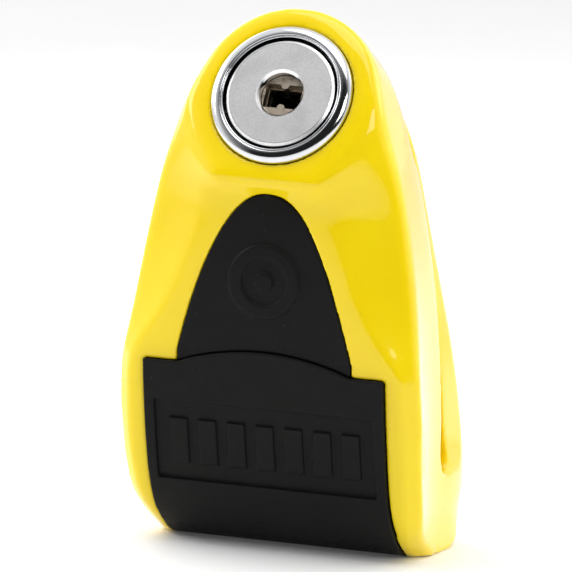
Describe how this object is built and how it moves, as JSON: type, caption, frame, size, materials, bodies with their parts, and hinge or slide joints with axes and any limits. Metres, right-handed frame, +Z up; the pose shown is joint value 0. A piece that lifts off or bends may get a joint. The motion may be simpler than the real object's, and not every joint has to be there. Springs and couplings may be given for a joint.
{
  "type": "disc brake lock",
  "caption": "U-shaped lock whose slot slips over a motorcycle brake disc; a push-in keyed cylinder drives a hardened bolt across the slot.",
  "frame": {"origin": "on the foot the lock stands on, halfway across the lock and directly under the middle of the disc slot", "axes": "+X to the right when looking at the lock's face, +Y from the face to the back, across the slot, +Z up from the foot to the head"},
  "size_m": [0.0572, 0.0533, 0.0974],
  "materials": {
    "casing": "gloss enamel over die-cast metal",
    "band_cover": "satin black moulding",
    "arch_insert": "satin black moulding",
    "cover_screws": "black-zinc steel",
    "bezel_ring": "polished chrome plate",
    "bezel_gasket": "matt",
    "guide_sleeve": "turned steel",
    "stop_pin": "ground steel",
    "front_bush": "hardened steel",
    "rear_bush": "hardened steel",
    "barrel": "satin nickel plate",
    "drill_pins": "hardened steel",
    "plug": "nickel-washed brass",
    "wafers": "stamped brass",
    "plug_clip": "spring steel",
    "cam": "machined steel",
    "latch_dog": "machined steel",
    "bolt": "ground and plated hardened steel",
    "bolt_pins": "spring steel",
    "return_springs": "spring steel wire"
  },
  "bodies": {
    "casing": {"casing": "casing", "band_cover": "band_cover", "arch_insert": "arch_insert", "cover_screws": "cover_screws", "bezel_ring": "bezel_ring", "bezel_gasket": "bezel_gasket", "guide_sleeve": "guide_sleeve", "stop_pin": "stop_pin", "front_bush": "front_bush", "rear_bush": "rear_bush"},
    "cylinder": {"barrel": "barrel", "drill_pins": "drill_pins", "plug_clip": "plug_clip", "bolt": "bolt", "bolt_pins": "bolt_pins", "return_springs": "return_springs"},
    "plug": {"plug": "plug", "wafers": "wafers", "cam": "cam"},
    "dog": {"latch_dog": "latch_dog"}
  },
  "joints": [
    {"name": "cylinder_push", "type": "slide", "parent": "casing", "child": "cylinder", "axis": [0, -0.8829, 0.4695], "range_m": [0, 0.0132], "deforming": ["return_springs"]},
    {"name": "plug_turn", "type": "hinge", "parent": "cylinder", "child": "plug", "pos_m": [0, -0.025, 0.0821], "axis": [0, 0.8829, -0.4695], "range_deg": [0, 90]},
    {"name": "dog_slide", "type": "slide", "parent": "cylinder", "child": "dog", "axis": [1, 0, 0], "range_m": [-0.0017, 0]}
  ],
  "couplings": [
    {"joint": "dog_slide", "follows": "plug_turn", "m_per_rad": -0.0010803}
  ]
}
